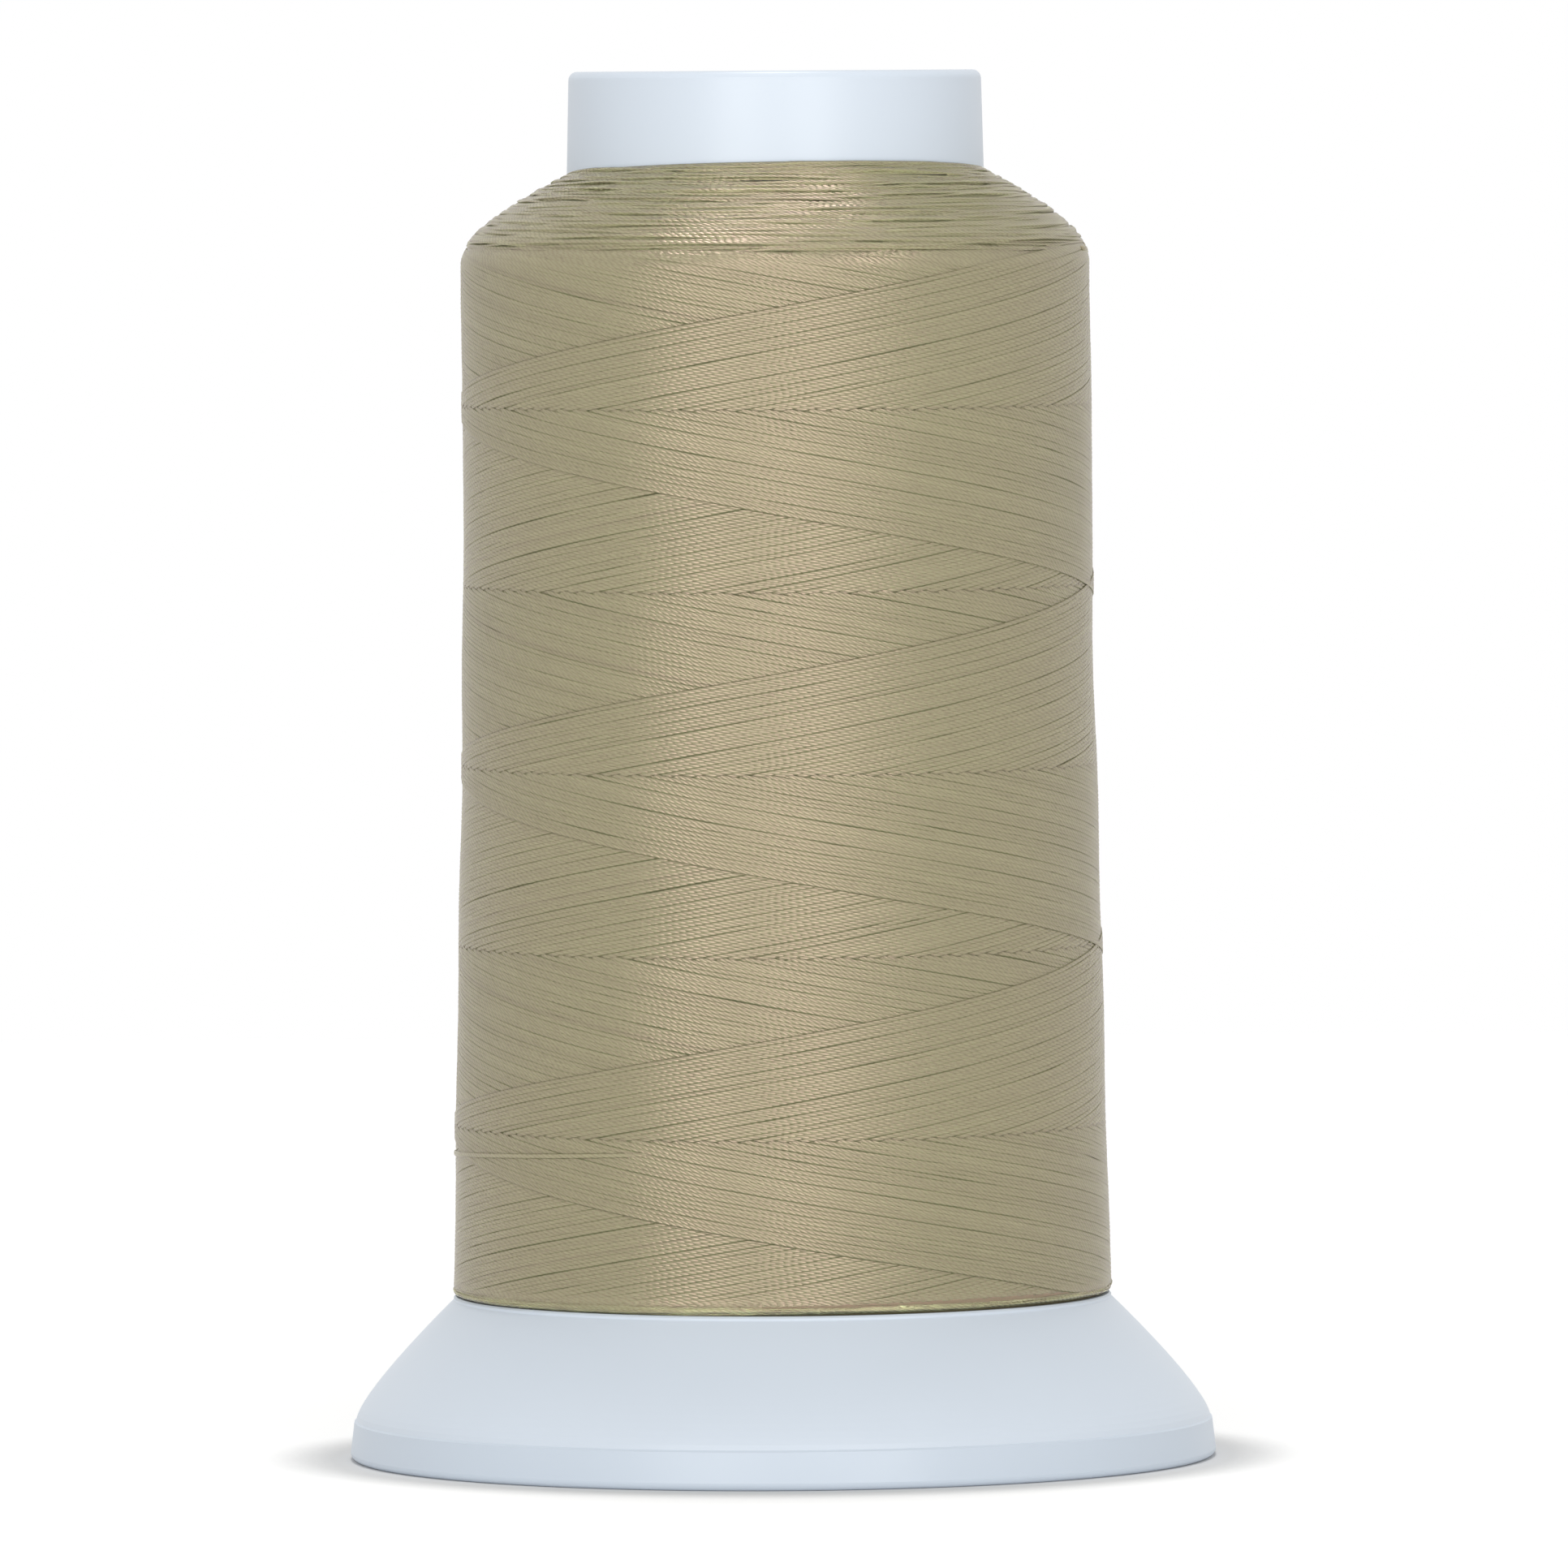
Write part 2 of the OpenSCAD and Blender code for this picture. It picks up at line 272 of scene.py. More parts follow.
def plied_polyester(finish):
    """Plied polyester sewing thread: satin plies that catch the light once in each ply length, with
    painted shade in the creases between them, darkest at the thread's edges, and a slight difference of
    shade from one thread to the next."""
    material, tree = empty_material("plied_polyester")
    along = add_node(tree, "ShaderNodeAttribute", attribute_name="twist")
    tone = add_node(tree, "ShaderNodeAttribute", attribute_name="tone")
    edge = add_node(tree, "ShaderNodeAttribute", attribute_name="edge")
    # The crest is one on top of each ply and zero in the crease between two
    phase = add_node(tree, "ShaderNodeMath", {0: along.outputs["Fac"], 1: pi}, operation="MULTIPLY")
    swing = add_node(tree, "ShaderNodeMath", {0: phase.outputs[0]}, operation="SINE")
    crest = add_node(tree, "ShaderNodeMath", {0: swing.outputs[0]}, operation="ABSOLUTE")
    # Painted shade: the colour goes from the thread's own at each ply's crest to the painted shade colour
    # in the crease
    face = add_node(tree, "ShaderNodeMapRange", {
        "Value": crest.outputs[0], "From Min": 0.25, "From Max": 1.0, "To Min": 0.72, "To Max": 1.06})
    # Painted shade darkens the creases further, in the outer fifth of the thread's width
    crease = add_node(tree, "ShaderNodeMapRange", {
        "Value": crest.outputs[0], "From Min": 0.3, "From Max": 0.95, "To Min": 0.12, "To Max": 0.0})
    nearness = add_node(tree, "ShaderNodeMapRange", {
        "Value": edge.outputs["Fac"], "From Min": 0.8, "From Max": 0.97})
    painted_edge_shade = add_node(tree, "ShaderNodeMath", {
        0: crease.outputs["Result"], 1: nearness.outputs["Result"]}, operation="MULTIPLY")
    shade = add_node(tree, "ShaderNodeMath", {
        0: face.outputs["Result"], 1: painted_edge_shade.outputs[0]}, operation="SUBTRACT")
    plies = add_node(tree, "ShaderNodeMix", {
        "Factor": shade.outputs[0], "A": rgba(finish.painted_thread_shade), "B": rgba(finish.thread)},
        data_type="RGBA")
    toned = add_node(tree, "ShaderNodeVectorMath", {
        0: plies.outputs["Result"], "Scale": tone.outputs["Fac"]}, operation="SCALE")
    bump = add_node(tree, "ShaderNodeBump", {
        "Strength": 0.7, "Distance": 0.05 * MM, "Height": crest.outputs[0]})
    # Polyester has an IOR of about 1.6. This one, at twice the usual level, gives the sum of the many
    # glints of its bundled filaments, and light spreads inside it for about a thread's width.
    surface = add_node(tree, "ShaderNodeBsdfPrincipled", {
        "Base Color": toned.outputs[0], "Roughness": 0.27, "IOR": 1.85, "Specular IOR Level": 1.0,
        "Specular Tint": rgba(finish.thread_gloss), "Subsurface Weight": 1.0,
        "Subsurface Radius": (1.0, 1.0, 1.0), "Subsurface Scale": 0.35 * MM, "Normal": bump.outputs[0]},
        subsurface_method="BURLEY")
    add_node(tree, "ShaderNodeOutputMaterial", {"Surface": surface.outputs[0]})
    return material


def thread_material(finish):
    """The material that all the wound thread shares. The first piece of it makes the material."""
    return bpy.data.materials.get("plied_polyester") or plied_polyester(finish)


def painted_shade_thread(finish):
    """The thread under the last two layers, which shows only in the gaps: painted dark as the shade there,
    in rows of lighter and darker painted shade that are 2 mm apart."""
    material, tree = empty_material("painted_shade_polyester")
    row = 0.32 * MM * tau
    place = add_node(tree, "ShaderNodeTexCoord")
    rows = add_node(tree, "ShaderNodeTexWave", {
        "Vector": place.outputs["Object"], "Scale": tau / (WAVE_NODE_FACTOR * row), "Distortion": 0.4},
        bands_direction="Z")
    # Painted shade: 0.8 to 1.2 times the thread's painted shade colour, in rows
    colour = add_node(tree, "ShaderNodeMix", {
        "Factor": rows.outputs["Fac"], "A": rgba(finish.painted_thread_shade, 0.8),
        "B": rgba(finish.painted_thread_shade, 1.2)}, data_type="RGBA")
    surface = add_node(tree, "ShaderNodeBsdfPrincipled", {
        "Base Color": colour.outputs["Result"], "Roughness": 0.4, "IOR": 2.0, "Specular IOR Level": 1.0,
        "Specular Tint": rgba(finish.thread_gloss)})
    add_node(tree, "ShaderNodeOutputMaterial", {"Surface": surface.outputs[0]})
    return material


def moulded_plastic(name, colour):
    """White polypropylene, injection moulded: a satin skin, with patches of flow 9 mm wide that vary its
    gloss and shade a little, and a fine grain from the tool. The grain is drawn 0.6 mm wide to show."""
    material, tree = empty_material(name)
    place = add_node(tree, "ShaderNodeTexCoord")
    flow = add_node(tree, "ShaderNodeTexNoise", {
        "Vector": place.outputs["Object"], "Scale": 1 / (9 * MM), "Detail": 3.0, "Roughness": 0.5})
    gloss = add_node(tree, "ShaderNodeMapRange", {
        "Value": flow.outputs["Fac"], "From Min": 0.3, "From Max": 0.7, "To Min": 0.36, "To Max": 0.44})
    grain = add_node(tree, "ShaderNodeTexNoise", {
        "Vector": place.outputs["Object"], "Scale": 1 / (0.6 * MM), "Detail": 2.0})
    tint = add_node(tree, "ShaderNodeMix", {
        "Factor": flow.outputs["Fac"], "A": rgba(colour, 0.985), "B": rgba(colour, 1.015)},
        data_type="RGBA")
    bump = add_node(tree, "ShaderNodeBump", {
        "Strength": 0.25, "Distance": 0.01 * MM, "Height": grain.outputs["Fac"]})
    surface = add_node(tree, "ShaderNodeBsdfPrincipled", {
        "Base Color": tint.outputs["Result"], "Roughness": gloss.outputs["Result"], "IOR": 1.49,
        "Normal": bump.outputs[0]})
    add_node(tree, "ShaderNodeOutputMaterial", {"Surface": surface.outputs[0]})
    return material


def studio_white(name):
    """Matt white paper, which gives back four fifths of its light. Seen directly or in a reflection it is
    pure white, with a painted soft grey shadow that is darkest right beside what stands on it."""
    material, tree = empty_material(name)
    paper_white = 0.8
    # Under the studio's plain light a factor of 1.1 shows as pure white
    painted_shadow_grey, shown_white = 0.7, 1.1
    # Painted shadow: an Ambient Occlusion node darkens the paper's colour within 8 mm of the object
    beside = add_node(tree, "ShaderNodeAmbientOcclusion", {"Distance": 8 * MM})
    shown = add_node(tree, "ShaderNodeMapRange", {
        "Value": beside.outputs["AO"], "From Min": 0.82, "From Max": 1.0,
        "To Min": painted_shadow_grey, "To Max": shown_white})
    white = add_node(tree, "ShaderNodeMix", {
        "Factor": seen_directly(tree), "A": paper_white, "B": shown.outputs["Result"]})
    paper = add_node(tree, "ShaderNodeBsdfDiffuse", {"Color": white.outputs["Result"]})
    add_node(tree, "ShaderNodeOutputMaterial", {"Surface": paper.outputs[0]})
    return material


# The package's outside, and threads laid on it


def lay_line(winding):
    """The outside of the package from the flange up to the neck: a rounded foot, a side that bows
    inwards as it rises, and a shoulder that is one Bezier curve."""
    foot_points, side_points, shoulder_points = 12, 200, 60
    side_bow = 1.8
    neck_slope = radians(26)
    foot_r = winding.foot_diameter / 2
    top_r = winding.top_diameter / 2
    foot_z = PACKAGE_LOW.z + winding.foot_round
    shoulder_z = PACKAGE_HIGH.z - winding.shoulder_height
    swing = np.linspace(-pi / 2, 0, foot_points, endpoint=False)
    foot = np.column_stack([
        foot_r - winding.foot_round * (1 - np.cos(swing)),
        foot_z + winding.foot_round * np.sin(swing)])
    rise = np.linspace(foot_z, shoulder_z, side_points, endpoint=False)
    side = np.column_stack([
        top_r + (foot_r - top_r) * ((shoulder_z - rise) / (shoulder_z - foot_z)) ** side_bow, rise])
    neck = Vector((NECK_R, PACKAGE_HIGH.z))
    corners = [
        Vector((top_r, shoulder_z)),
        Vector((top_r, shoulder_z + 0.33 * winding.shoulder_height)),
        neck + 0.68 * winding.shoulder_height * Vector((np.cos(neck_slope), -np.sin(neck_slope))),
        neck]
    t = np.linspace(0, 1, shoulder_points)[:, None]
    weights = ((1 - t) ** 3, 3 * (1 - t) ** 2 * t, 3 * (1 - t) * t ** 2, t ** 3)
    shoulder = sum(weight * np.array(corner) for weight, corner in zip(weights, corners))
    points = np.vstack([foot, side, shoulder])
    length = np.append(0, np.cumsum(np.hypot(*np.diff(points, axis=0).T)))
    slope = np.gradient(points, length, axis=0)
    slope /= np.hypot(*slope.T)[:, None]
    return Line(length, points[:, 0], points[:, 1], slope[:, 1], -slope[:, 0])


def swell(line, angle, at):
    """How far the wound thread stands out or in at that turn and length, as on any real package."""
    out = np.zeros(np.broadcast(angle, at).shape)
    for lobes, wave, phase in SWELL_WAVES:
        out += SWELL * np.sin(tau * (lobes * angle + at / (wave * MM) + phase))
    up_shoulder = np.clip(1 - (line.length[-1] - at) / PILE_RUN, 0, 1)
    facing = np.clip(np.cos(tau * (angle - PILE_BEARING)), -0.2, 1)
    return out + up_shoulder ** 2 * (PILE_ALL_ROUND + PILE_ON_ONE_SIDE * facing) * MM


def on_line(line, angle, at, depth):
    """Radius, height and outward direction at those turns and lengths, that deep in the package."""
    radius, height, out_r, out_z = (
        np.interp(at, line.length, column)
        for column in (line.radius, line.height, line.out_r, line.out_z))
    inward = depth - swell(line, angle, at)
    return radius - inward * out_r, height - inward * out_z, out_r, out_z


def climb(winding, line, turns):
    """Length along the line that a stroke has reached after those turns. It levels out at both ends."""
    middle = np.interp(winding.crossing_height, line.height, line.length)
    at = middle + winding.lead * turns
    for end, share in ((TURN_BACK_HIGH, winding.top_ease), (TURN_BACK_LOW, winding.foot_ease)):
        way = 1 if end > 0 else -1
        eased = np.clip(share - way * (end - turns), 0, None)
        at = at - way * winding.lead * eased ** 2 / (2 * share)
    return at


def straight_thread(rings):
    """A mesh of straight thread, of radius and length one, with that many rings."""
    bm = bmesh.new()
    bmesh.ops.create_cone(bm, cap_ends=True, segments=THREAD_SIDES, radius1=1, radius2=1, depth=1)
    bmesh.ops.translate(bm, vec=(0, 0, 0.5), verts=bm.verts)
    sides = [e for e in bm.edges if abs(e.verts[0].co.z - e.verts[1].co.z) > 0.5]
    bmesh.ops.subdivide_edges(bm, edges=sides, cuts=rings - 2, use_grid_fill=True)
    mesh = bpy.data.meshes.new("straight_thread")
    bm.to_mesh(mesh)
    bm.free()
    return mesh


def wind(name, route, thread_r, turning):
    """A mesh of threads wound along their routes. Each column of the route has one row for each
    thread and one value for each ring; turning is 1 where the threads run anticlockwise."""
    count, rings = route.angle.shape
    straight = straight_thread(rings)
    points = np.empty(3 * len(straight.vertices))
    straight.vertices.foreach_get("co", points)
    points = points.reshape(-1, 3)
    ring = np.rint(points[:, 2] * (rings - 1)).astype(int)
    across, up = points[:, 0], -turning * points[:, 1]
    bm = bmesh.new()
    for _ in range(count):
        bm.from_mesh(straight)
    mesh = bpy.data.meshes.new(name)
    bm.to_mesh(mesh)
    bm.free()
    bpy.data.meshes.remove(straight)
    angle, radius, height, out_r, out_z, twist, tone = (column[:, ring] for column in route)
    out, side = THREAD_THICKNESS * thread_r * across, THREAD_WIDTH * thread_r * up
    radius = radius + out * out_r - side * out_z
    height = height + out * out_z + side * out_r
    wound = np.stack([radius * np.cos(tau * angle), radius * np.sin(tau * angle), height], axis=-1)
    mesh.vertices.foreach_set("co", wound.ravel())
    twist = twist + turning * PLY_LEAN * up
    # The edge attribute tells the material where to paint shade at the thread's edges
    edge = np.abs(up) / np.abs(up).max() + 0 * tone
    for column, values in (("twist", twist), ("tone", tone), ("edge", edge)):
        mesh.attributes.new(column, "FLOAT", "POINT").data.foreach_set("value", values.ravel())
    mesh.update()
    return mesh


def length_along(angle, radius, height):
    """Length of each thread up to each of its rings."""
    steps = np.hypot(np.diff(angle, axis=1) * tau * (radius[:, 1:] + radius[:, :-1]) / 2,
                     np.diff(height, axis=1))
    return np.hstack([np.zeros((len(angle), 1)), np.cumsum(steps, axis=1)])


def shades(chance, twist):
    """A shade for each thread, the same at all its rings."""
    return 1 + TONE_SPREAD * chance.standard_normal((len(twist), 1)) + 0 * twist


def wander(chance, lots, run, waves=(12 * MM, 40 * MM)):
    """A drift along the run of each thread, of size about one and shared by threads of one lot. It is
    the sum of three waves of random length and phase."""
    sines = 3
    drift = np.zeros(run.shape)
    for _ in range(sines):
        wave = chance.uniform(*waves, lots.max() + 1)[lots][:, None]
        phase = chance.random(lots.max() + 1)[lots][:, None]
        drift += np.sin(tau * (run / wave + phase))
    return drift / sines ** 0.5


def soft_floor(value, run):
    """The whole part of a value, which changes smoothly over that run on each side of a whole number."""
    nearest = np.rint(value)
    step = np.clip((value - nearest) / run, -1, 1)
    return nearest - 0.5 + 0.5 * np.sin(step * pi / 2)


def bunched(chance, count, run):
    """Places of count threads side by side: in bunches of a few that lie close and drift as one. Here
    and there the threads of a bunch part for a short way."""
    bunch = np.cumsum(chance.random(count) < BUNCH_CHANCE)
    bunch -= bunch[0]
    own = np.arange(count)
    order = own + 0.5
    middle = np.bincount(bunch, order) / np.bincount(bunch)
    loose = np.clip(1 + wander(chance, bunch, run), 0, 2)
    drift = BUNCH_WANDER * wander(chance, bunch, run) + THREAD_STRAY * loose * (
        wander(chance, own, run) ** 3 + wander(chance, own, run, (5 * MM, 11 * MM)) ** 3)
    return (middle[bunch] + BUNCH_PACKING * (order - middle[bunch]))[:, None] + drift


def lay_strokes(winding, line, turning, seed):
    """The last layer of strokes that run one way, as routes for wind()."""
    chance = np.random.default_rng(seed)
    top_scatter = 0.25 * MM
    d = winding.diameter
    count = winding.strokes
    # The newest thread has age 0 and the oldest 1, and threads cross the other layer's newest at fronts
    age = (np.arange(count) + 0.5)[:, None] / count
    rings = RINGS_IN_A_TURN * (TURN_BACK_HIGH - TURN_BACK_LOW)
    even = np.linspace(TURN_BACK_LOW, TURN_BACK_HIGH, rings)
    half_turns = np.arange(2 * TURN_BACK_LOW, 2 * TURN_BACK_HIGH)
    steps = np.array([-1, -0.5, 0, 0.5, 1]) * SWAP_RUN
    levels = (half_turns[:, None] + steps).ravel()[None, :] / 2 + 0 * age
    fronts = (half_turns[:, None] + 1 + steps).ravel()[None, :] / 2
    fronts = fronts - turning * (age - (turning < 0)) / 2
    turns = np.sort(np.hstack([even[None, :] + 0 * age, levels, fronts]), axis=1)
    turns = np.clip(turns, TURN_BACK_LOW, TURN_BACK_HIGH)
    half_climb = 2 * turning * turns
    passed = soft_floor(age + half_climb, SWAP_RUN)
    other_age = age + half_climb - passed
    under = passed - soft_floor(half_climb, SWAP_RUN)
    depth = d * (AGE_DEPTH * (age + other_age) + UNDER_DEPTH * under + NEWEST_DEPTH)
    run = turns * tau * line.radius.max()
    place = bunched(chance, count, run) / count - (turning < 0) * 0.5 / count
    angle = place + turning * turns + winding.crossing_turn
    # The strokes turn back at the top at slightly different heights
    at = climb(winding, line, turns) + top_scatter * chance.standard_normal((count, 1)) * (
        np.clip(turns - TURN_BACK_HIGH + winding.top_ease, 0, None) / winding.top_ease)
    radius, height, out_r, out_z = on_line(line, angle, at, depth + d / 2)
    twist = length_along(angle, radius, height) / winding.ply_length + chance.random((count, 1))
    return Route(angle, radius, height, out_r, out_z, twist, shades(chance, twist))


def lay_arcs(winding, line, apexes, spans, drops, seed, ramp):
    """Level stretches of older strokes, each laid on those before it. Each reaches its apex, a length on
    the line, and drops away by its drop within its span of turns on both sides. Their pile is levelled
    to the package's outside, and sinks by ramp(length)."""
    chance = np.random.default_rng(seed)
    d = winding.diameter
    count = len(apexes)
    rings = 97
    # The pile is kept as its height in cells, by bearing and by length along the line
    bearings = 360
    bins_in_d = 8
    cell = d / bins_in_d
    # How far a thread beds into those below it, how much of the pile's relief is left when it is
    # levelled, and how deep the levelled pile lies in the package's outside
    bedding, relief, level_depth = 0.2 * d, 0.24, 0.45 * d
    piled = np.zeros((bearings, int(line.length[-1] / cell) + 4 * bins_in_d))
    offsets = np.arange(-bins_in_d // 2 + 1, bins_in_d // 2)
    seat = 0.5 * d * np.sqrt(1 - (offsets / (bins_in_d / 2)) ** 2)
    across = np.linspace(-1, 1, rings)
    start = chance.random(count)
    angle = start[:, None] + spans[:, None] * across
    waver = 0.1 * MM * wander(chance, np.arange(count), angle * tau * line.radius.min())
    at = apexes[:, None] - drops[:, None] * across ** 2 + waver
    at = np.clip(at, 0.3 * d, line.length[-1] - 0.4 * d)
    lift = np.empty_like(at)
    # A taut thread smooths out dips that are shorter than this many rings
    span = 9
    taut = np.hanning(span) / np.hanning(span).sum()
    for i in range(count):
        bearing = np.rint(angle[i] * bearings).astype(int) % bearings
        column = np.rint(at[i] / cell).astype(int)[:, None] + offsets
        rest = (piled[bearing[:, None], column] + seat).max(axis=1)
        rest = np.convolve(np.pad(rest, span // 2, mode="edge"), taut, mode="valid")
        lift[i] = rest - bedding
        np.maximum.at(piled, (bearing[:, None] + 0 * column, column), lift[i][:, None] + seat)
    # The pile's even height is its mean over 45 degrees of bearing and five threads of length
    for axis, reach in ((0, 45), (1, 5 * bins_in_d)):
        share = np.hanning(reach) / np.hanning(reach).sum()
        ends = [(reach, reach), (0, 0)] if axis == 0 else [(0, 0), (reach, reach)]
        wide = np.pad(piled, ends, mode="wrap" if axis == 0 else "edge")
        smooth = np.apply_along_axis(np.convolve, axis, wide, share, mode="same")
        piled = smooth[reach:-reach] if axis == 0 else smooth[:, reach:-reach]
    bearing = np.rint(angle * bearings).astype(int) % bearings
    top = piled[bearing, np.rint(at / cell).astype(int)]
    depth = relief * (top - lift) + ramp(at) + level_depth
    radius, height, out_r, out_z = on_line(line, angle, at, depth)
    twist = length_along(angle, radius, height) / winding.ply_length + chance.random((count, 1))
    return Route(angle, radius, height, out_r, out_z, twist, shades(chance, twist))


def lay_slipped_turn(winding, line):
    """One turn that slipped, so that it lies nearly level on the others until it dives under them at
    both ends."""
    rings = 60
    start, turns = 0.38, 0.325
    level, rise = 24.7 * MM, 2.2 * MM
    depth_on_top, dive = 0.62, 0.9
    # Painted light: the slipped turn, which lies on top of the others, is painted 1.2 times lighter
    tone = 1.2
    along = np.linspace(0, 1, rings)[None, :]
    angle = start + turns * along
    at = np.interp(level, line.height, line.length) + rise * (along - 0.35)
    depth = winding.diameter * (depth_on_top + dive * np.abs(2 * along - 1) ** 8)
    radius, height, out_r, out_z = on_line(line, angle, at, depth)
    twist = length_along(angle, radius, height) / winding.ply_length
    return Route(angle, radius, height, out_r, out_z, twist, tone + 0 * twist)


def halves(route):
    """The route's threads in two lots, so that each piece keeps a modest size."""
    middle = len(route.angle) // 2
    return (Route(*(column[:middle] for column in route)),
            Route(*(column[middle:] for column in route)))


# The operators, one for each piece or group of like pieces


class SPOOL_OT_wind_core(bpy.types.Operator):
    """Make the thread under the last layers"""

    bl_idname = "spool.wind_core"
    bl_label = "Core of the Package"

    def execute(self, context):
        winding = context.scene.spool_winding
        line = lay_line(winding)
        # From the foot, where it is flush with the thread, the core sinks under the last layers
        points = 90
        sink_run, sink = 3 * MM, 2.5 * winding.diameter
        at = np.linspace(0.02 * MM, line.length[-1] - 0.4 * MM, points)
        depth = np.interp(at, [0, sink_run], [0, sink])
        radius, height, _, _ = on_line(line, 0, at, depth)
        # Inside, it follows the tapered barrel, and leaves the fillet at the barrel's foot free
        gap = 0.05 * MM
        fillet_r, fillet_z = 1.7 * MM, 1.6 * MM
        low_z, high_z = PACKAGE_LOW.z, height[-1]
        taper = (BARREL_FOOT_R - NECK_R) / (SPOOL_TOP - low_z)
        barrel = [(NECK_R + taper * (SPOOL_TOP - z) + gap, z) for z in (high_z, low_z + fillet_z)]
        outline = [(BARREL_FOOT_R + fillet_r, low_z), *zip(radius, height), *barrel]
        bm = bmesh.new()
        verts = [bm.verts.new((r, 0, z)) for r, z in outline]
        edges = [bm.edges.new(pair) for pair in zip(verts, verts[1:] + verts[:1])]
        bmesh.ops.spin(bm, geom=verts + edges, cent=(0, 0, 0), axis=(0, 0, 1), angle=tau, steps=128,
                       use_merge=True)
        bmesh.ops.recalc_face_normals(bm, faces=bm.faces)
        mesh = bpy.data.meshes.new("thread_core")
        bm.to_mesh(mesh)
        bm.free()
        core = add_piece("thread_core", mesh, painted_shade_thread(context.scene.spool_finish))
        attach(core, "spool")
        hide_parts("thread_package")
        return {"FINISHED"}


class SPOOL_OT_wind_strokes(bpy.types.Operator):
    """Wind the last rising and falling strokes, which cross each other on the package"""

    bl_idname = "spool.wind_strokes"
    bl_label = "Crossing Strokes"

    def execute(self, context):
        winding = context.scene.spool_winding
        line = lay_line(winding)
        material = thread_material(context.scene.spool_finish)
        for node, turning, seed in (("rising_turns", 1, 3), ("falling_turns", -1, 5)):
            route = lay_strokes(winding, line, turning, seed)
            for half, part in zip(halves(route), ("new", "old")):
                name = f"{node}_{part}"
                piece = add_piece(name, wind(name, half, winding.diameter / 2, turning), material)
                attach(piece, "spool")
                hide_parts(node)
        return {"FINISHED"}


class SPOOL_OT_wind_ends(bpy.types.Operator):
    """Wind the nearly level turns on the shoulder and round the foot"""

    bl_idname = "spool.wind_ends"
    bl_label = "Level Turns"

    def execute(self, context):
        winding = context.scene.spool_winding
        line = lay_line(winding)
        material = thread_material(context.scene.spool_finish)
        d = winding.diameter
        top = climb(winding, line, TURN_BACK_HIGH)
        foot = climb(winding, line, TURN_BACK_LOW)
        chance = np.random.default_rng(11)
        # On the shoulder, whole level turns lie side by side, and short arcs of strokes lie over them
        arcs = 260
        under = np.arange(line.length[-1], top - 1 * MM, -0.9 * d)
        over = np.linspace(line.length[-1], top - 0.5 * MM, arcs) + chance.normal(0, 0.25 * MM, arcs)
        spans = np.append(0.5 + 0 * under, chance.uniform(0.12, 0.4, arcs))
        drops = np.append(0 * under, spans[len(under):] * chance.uniform(2.5, 6, arcs) * MM)
        shoulder = lay_arcs(
            winding, line, np.append(under, over), spans, drops, 17,
            lambda at: 2.2 * d * np.clip((top + 0.8 * MM - at) / (1.8 * MM), 0, 1))
        # Round the foot, close turns have a few more over them
        extra = 40
        low = np.append(
            np.arange(0.1 * MM, foot, 0.5 * d),
            np.linspace(foot + 0.6 * MM, 0.1 * MM, extra) + chance.normal(0, 0.2 * MM, extra))
        ring = lay_arcs(
            winding, line, low, np.full(len(low), 0.5), np.zeros(len(low)), 19,
            lambda at: d * (0.25 + 1.4 * np.clip((at - 0.7 * MM) / (0.5 * MM), 0, 1)))
        # The turns round the foot are painted a shade lighter, as painted light bounced from the pale
        # flange
        ring = ring._replace(tone=1.15 * ring.tone)
        under_turns, over_turns = halves(shoulder)
        lots = (("shoulder_turns_under", under_turns), ("shoulder_turns_over", over_turns),
                ("foot_turns", ring), ("slipped_turn", lay_slipped_turn(winding, line)))
        for name, route in lots:
            piece = add_piece(name, wind(name, route, d / 2, 1), material)
            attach(piece, "spool")
            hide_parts("thread_package")
        return {"FINISHED"}


class SPOOL_OT_finish_mouldings(bpy.types.Operator):
    """Give the spool body and the snap base their plastic"""

    bl_idname = "spool.finish_mouldings"
    bl_label = "Mouldings"

    def execute(self, context):
        finish = context.scene.spool_finish
        mouldings = (
            ("spool_body", moulded_plastic("moulded_polypropylene_body", finish.body)),
            ("snap_base", moulded_plastic("moulded_polypropylene_base", finish.base)))
        for node, material in mouldings:
            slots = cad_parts[node].data.materials
            slots.clear()
            slots.append(material)
        return {"FINISHED"}


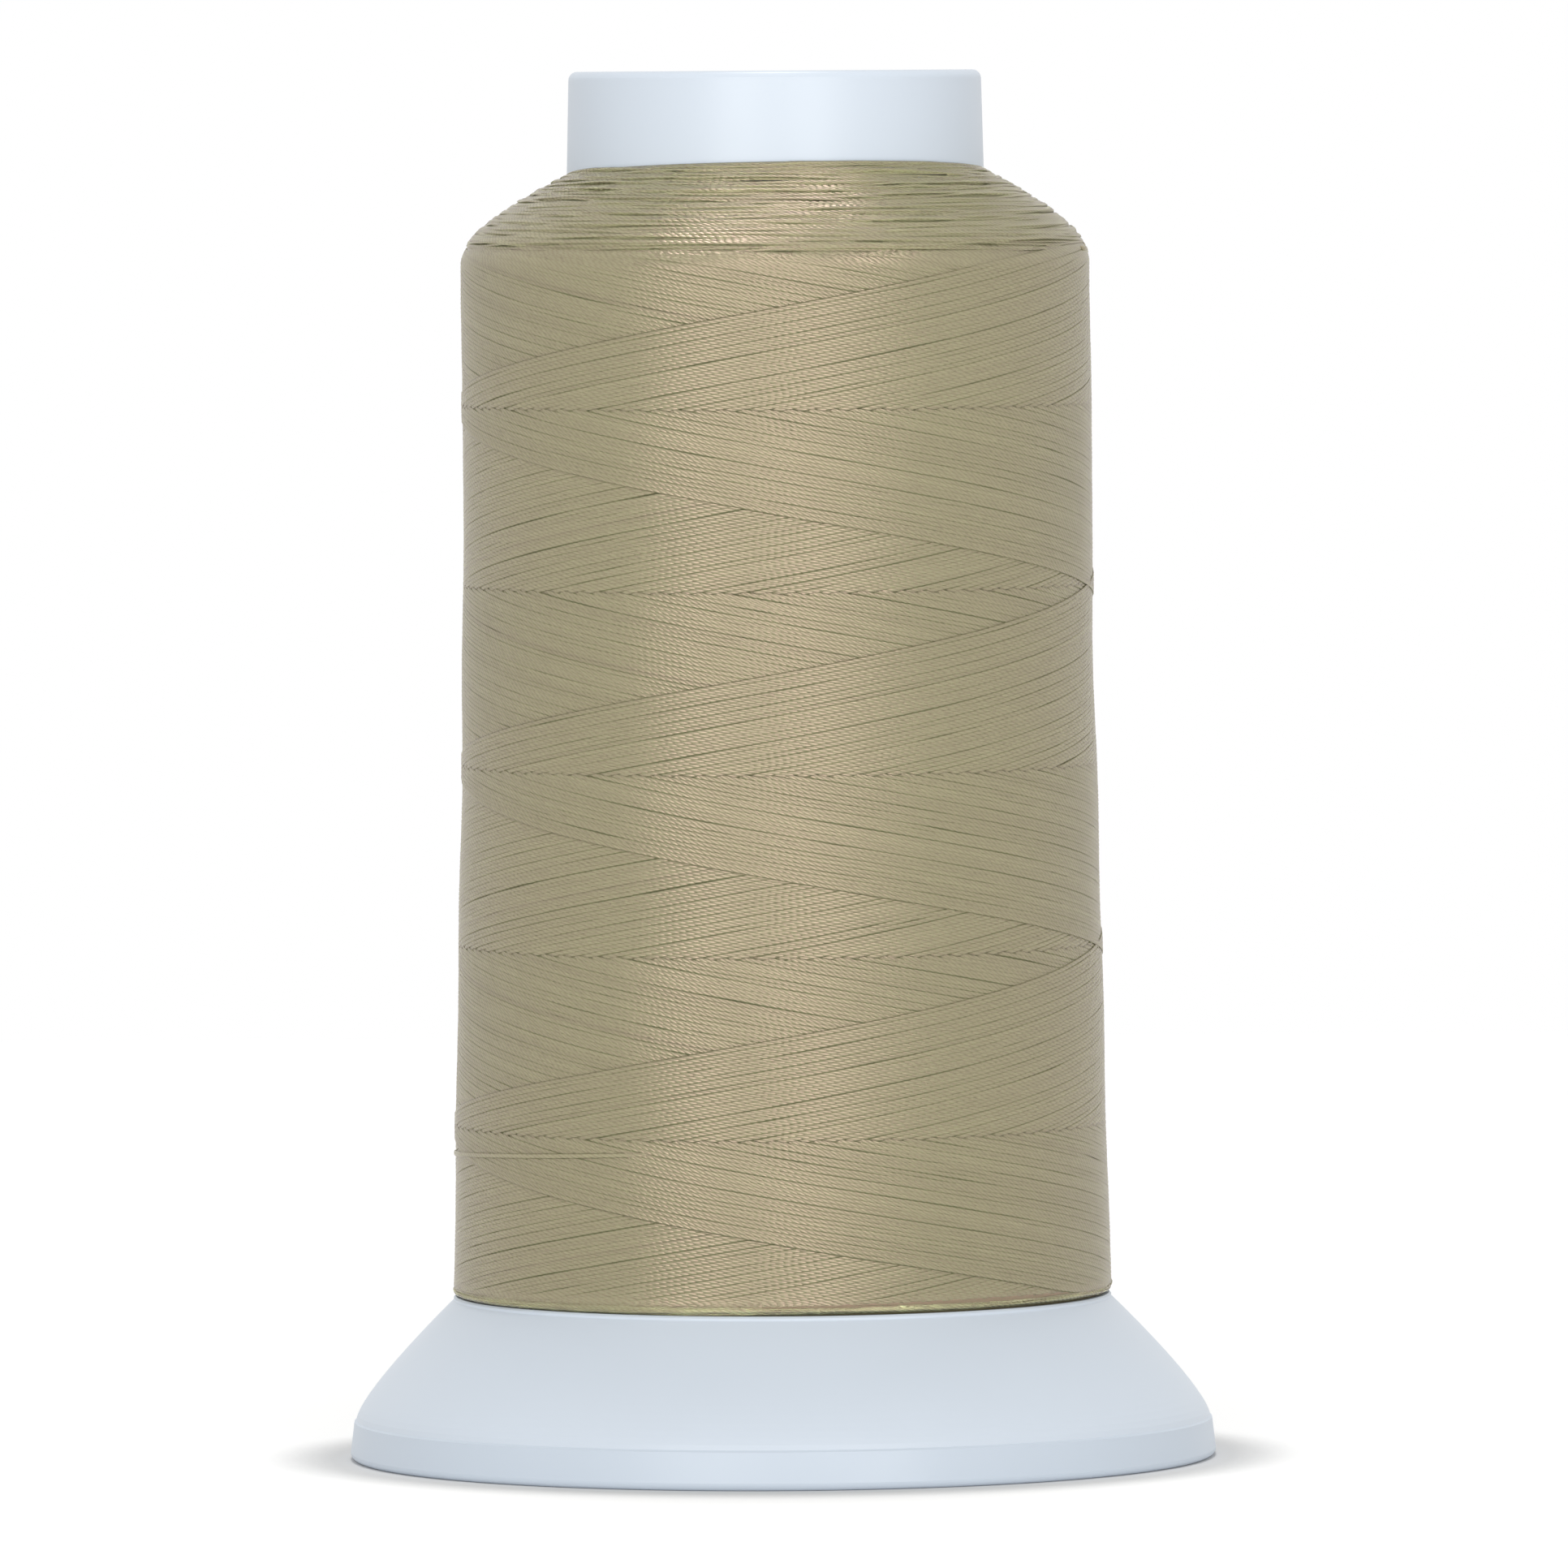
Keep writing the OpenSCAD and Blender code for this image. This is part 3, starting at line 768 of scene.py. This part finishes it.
class SPOOL_OT_set_stage(bpy.types.Operator):
    """Set the floor, the lamps, the world and the camera"""

    bl_idname = "spool.set_stage"
    bl_label = "Studio"

    def execute(self, context):
        studio = context.scene.spool_studio
        self.lay_floor()
        self.set_world(context.scene, studio)
        self.hang_lamps(studio)
        self.place_camera(context.scene, studio)
        context.scene.view_settings.view_transform = "Standard"
        return {"FINISHED"}

    def lay_floor(self):
        half_side = 0.6
        bm = bmesh.new()
        bmesh.ops.create_grid(bm, x_segments=1, y_segments=1, size=half_side)
        mesh = bpy.data.meshes.new("floor")
        bm.to_mesh(mesh)
        bm.free()
        floor = add_piece("floor", mesh, studio_white("white_floor_paper"))

    def set_world(self, scene, studio):
        world = bpy.data.worlds.new("studio")
        world.use_nodes = True
        tree = world.node_tree
        tree.nodes.clear()
        strength = add_node(tree, "ShaderNodeMapRange", {
            "Value": seen_directly(tree), "To Min": studio.ambient, "To Max": 1.0})
        sky = add_node(tree, "ShaderNodeBackground", {
            "Color": rgba(linear("FFFFFF")), "Strength": strength.outputs["Result"]})
        add_node(tree, "ShaderNodeOutputWorld", {"Surface": sky.outputs[0]})
        scene.world = world

    def hang_lamps(self, studio):
        """One soft light from above and a little behind, and a soft lamp on each side in front."""
        softness, lean = radians(12), radians(-10)
        overhead = bpy.data.lights.new("overhead", "SUN")
        overhead.energy = studio.overhead
        overhead.angle = softness
        panel = bpy.data.objects.new("overhead", overhead)
        panel.rotation_euler = (lean, 0, 0)
        bpy.context.scene.collection.objects.link(panel)
        aim = Vector((0, 0, 60 * MM))
        width, height = 0.56, 0.7
        for name, place in (("left_softbox", (-0.40, -1.15, 0.2)), ("right_softbox", (0.44, -1.15, 0.2))):
            lamp = bpy.data.lights.new(name, "AREA")
            lamp.shape = "RECTANGLE"
            lamp.size, lamp.size_y = width, height
            lamp.energy = studio.front_power
            fixture = bpy.data.objects.new(name, lamp)
            fixture.location = place
            fixture.rotation_euler = (aim - Vector(place)).to_track_quat("-Z", "Y").to_euler()
            bpy.context.scene.collection.objects.link(fixture)

    def place_camera(self, scene, studio):
        camera = bpy.data.cameras.new("camera")
        place = Vector((studio.aim_side, -studio.camera_distance, studio.camera_height))
        aim = Vector((studio.aim_side, 0, studio.aim_height))
        camera.lens = camera.sensor_width * (aim - place).length / studio.view_width
        camera.clip_start = 0.05
        camera.clip_end = 50
        eye = bpy.data.objects.new("camera", camera)
        look = (aim - place).to_track_quat("-Z", "Y")
        eye.rotation_euler = (look @ Quaternion((0, 0, 1), studio.camera_roll)).to_euler()
        eye.location = place
        scene.collection.objects.link(eye)
        scene.camera = eye


class SPOOL_PT_panel(bpy.types.Panel):
    """Lists the steps that dress the spool"""

    bl_idname = "SPOOL_PT_panel"
    bl_label = "Thread Spool"
    bl_space_type = "VIEW_3D"
    bl_region_type = "UI"
    bl_category = "Thread Spool"

    def draw(self, context):
        column = self.layout.column(align=True)
        for operator in STEPS:
            column.operator(operator.bl_idname)
        scene = context.scene
        for group in (scene.spool_winding, scene.spool_finish, scene.spool_studio):
            box = self.layout.box()
            for name in group.__annotations__:
                box.prop(group, name)


STEPS = (
    SPOOL_OT_wind_core,
    SPOOL_OT_wind_strokes,
    SPOOL_OT_wind_ends,
    SPOOL_OT_finish_mouldings,
    SPOOL_OT_set_stage,
)
CLASSES = (SpoolWinding, SpoolFinish, SpoolStudio, *STEPS, SPOOL_PT_panel)


def register():
    for cls in CLASSES:
        bpy.utils.register_class(cls)
    bpy.types.Scene.spool_winding = PointerProperty(type=SpoolWinding)
    bpy.types.Scene.spool_finish = PointerProperty(type=SpoolFinish)
    bpy.types.Scene.spool_studio = PointerProperty(type=SpoolStudio)


def unregister():
    del bpy.types.Scene.spool_studio
    del bpy.types.Scene.spool_finish
    del bpy.types.Scene.spool_winding
    for cls in reversed(CLASSES):
        bpy.utils.unregister_class(cls)


def main():
    register()
    for step in STEPS:
        group, action = step.bl_idname.split(".")
        getattr(getattr(bpy.ops, group), action)()


if __name__ == "__main__":
    main()
